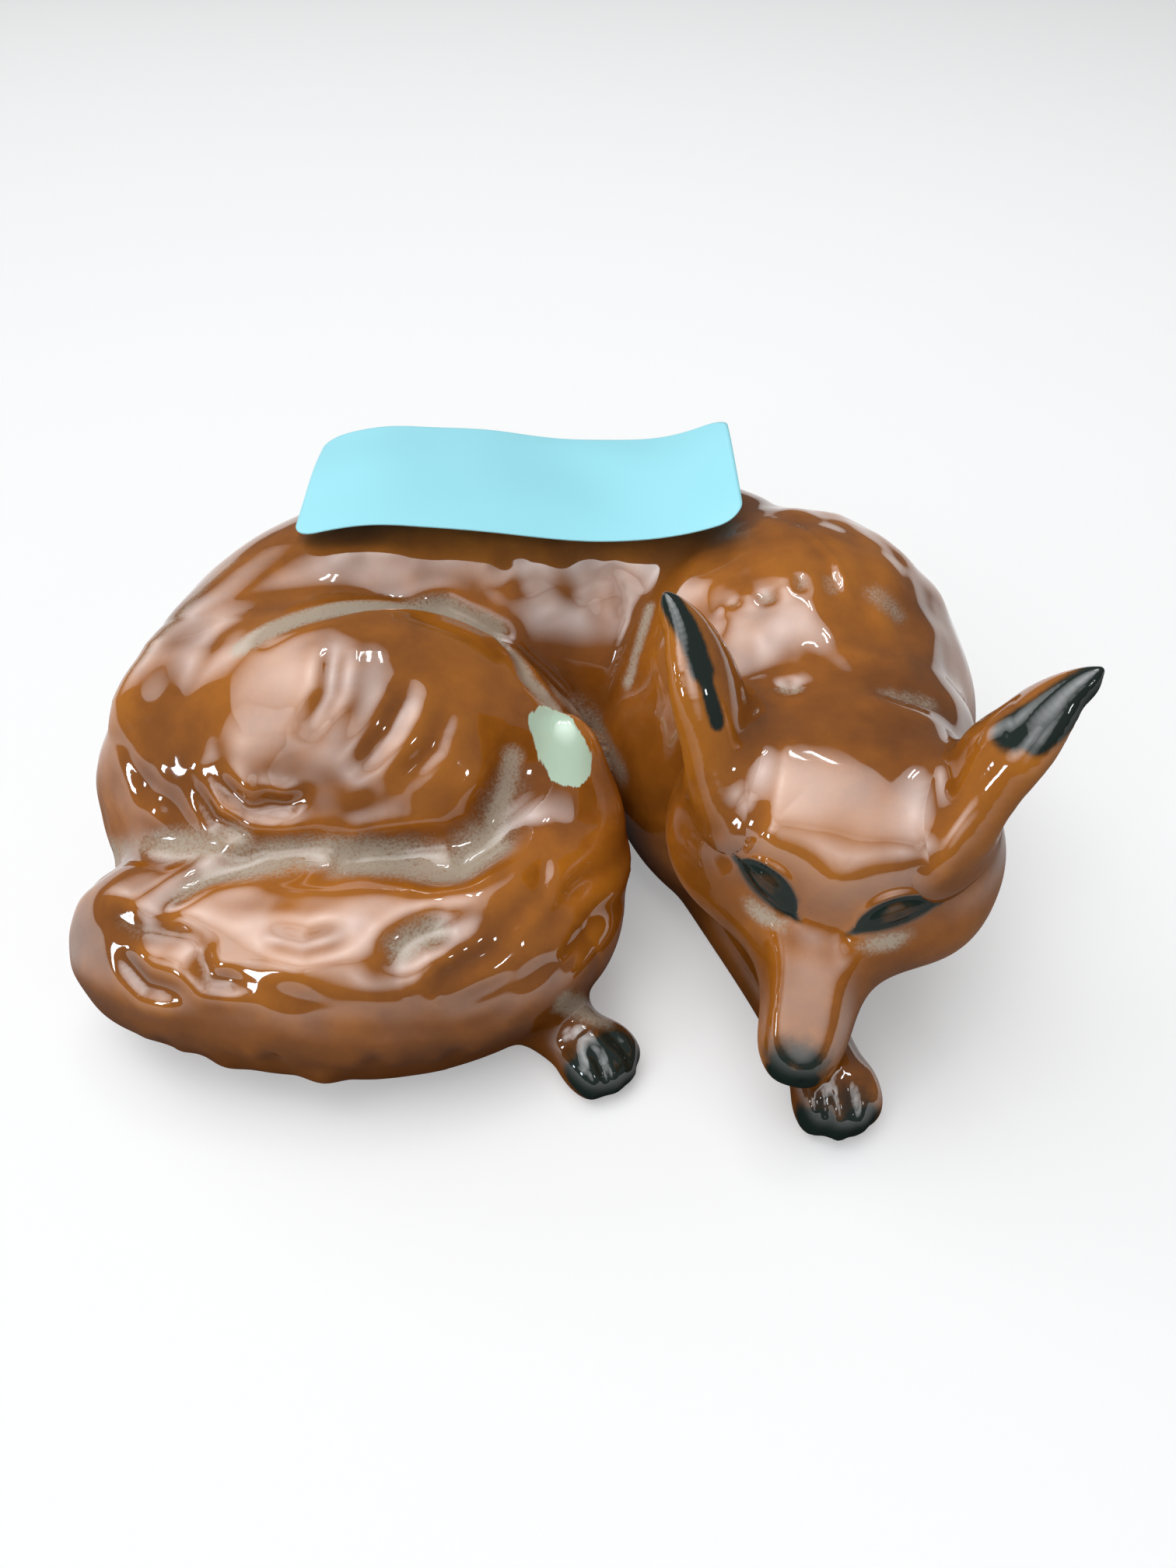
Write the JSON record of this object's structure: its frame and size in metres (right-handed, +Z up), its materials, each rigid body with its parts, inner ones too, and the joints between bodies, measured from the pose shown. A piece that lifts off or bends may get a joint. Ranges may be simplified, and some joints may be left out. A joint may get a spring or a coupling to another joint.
{
  "type": "fox figurine",
  "caption": "Curled fox ornament of hollow glazed earthenware, chin on a foreleg and brush wrapped round the haunch, with a bare paper sticker on the back; stands on a shelf.",
  "frame": {"origin": "on the ground, under the middle of the footprint", "axes": "+Z up, -Y towards the viewer that the face looks at, +X towards the fox's left, along its longest side"},
  "size_m": [0.1175, 0.0942, 0.0557],
  "materials": {
    "russet_glaze": "clear gloss glaze over a russet body stain, darker in the hollows, with black-green points",
    "sticker_paper": "smooth pale blue paper, slightly creased"
  },
  "bodies": {
    "root": {"back_shell": "russet_glaze", "forequarter_shell": "russet_glaze", "haunch_shell": "russet_glaze", "tail": "russet_glaze", "head_shell": "russet_glaze", "left_ear": "russet_glaze", "right_ear": "russet_glaze", "foreleg": "russet_glaze", "hind_paw": "russet_glaze", "sticker": "sticker_paper"}
  },
  "joints": []
}
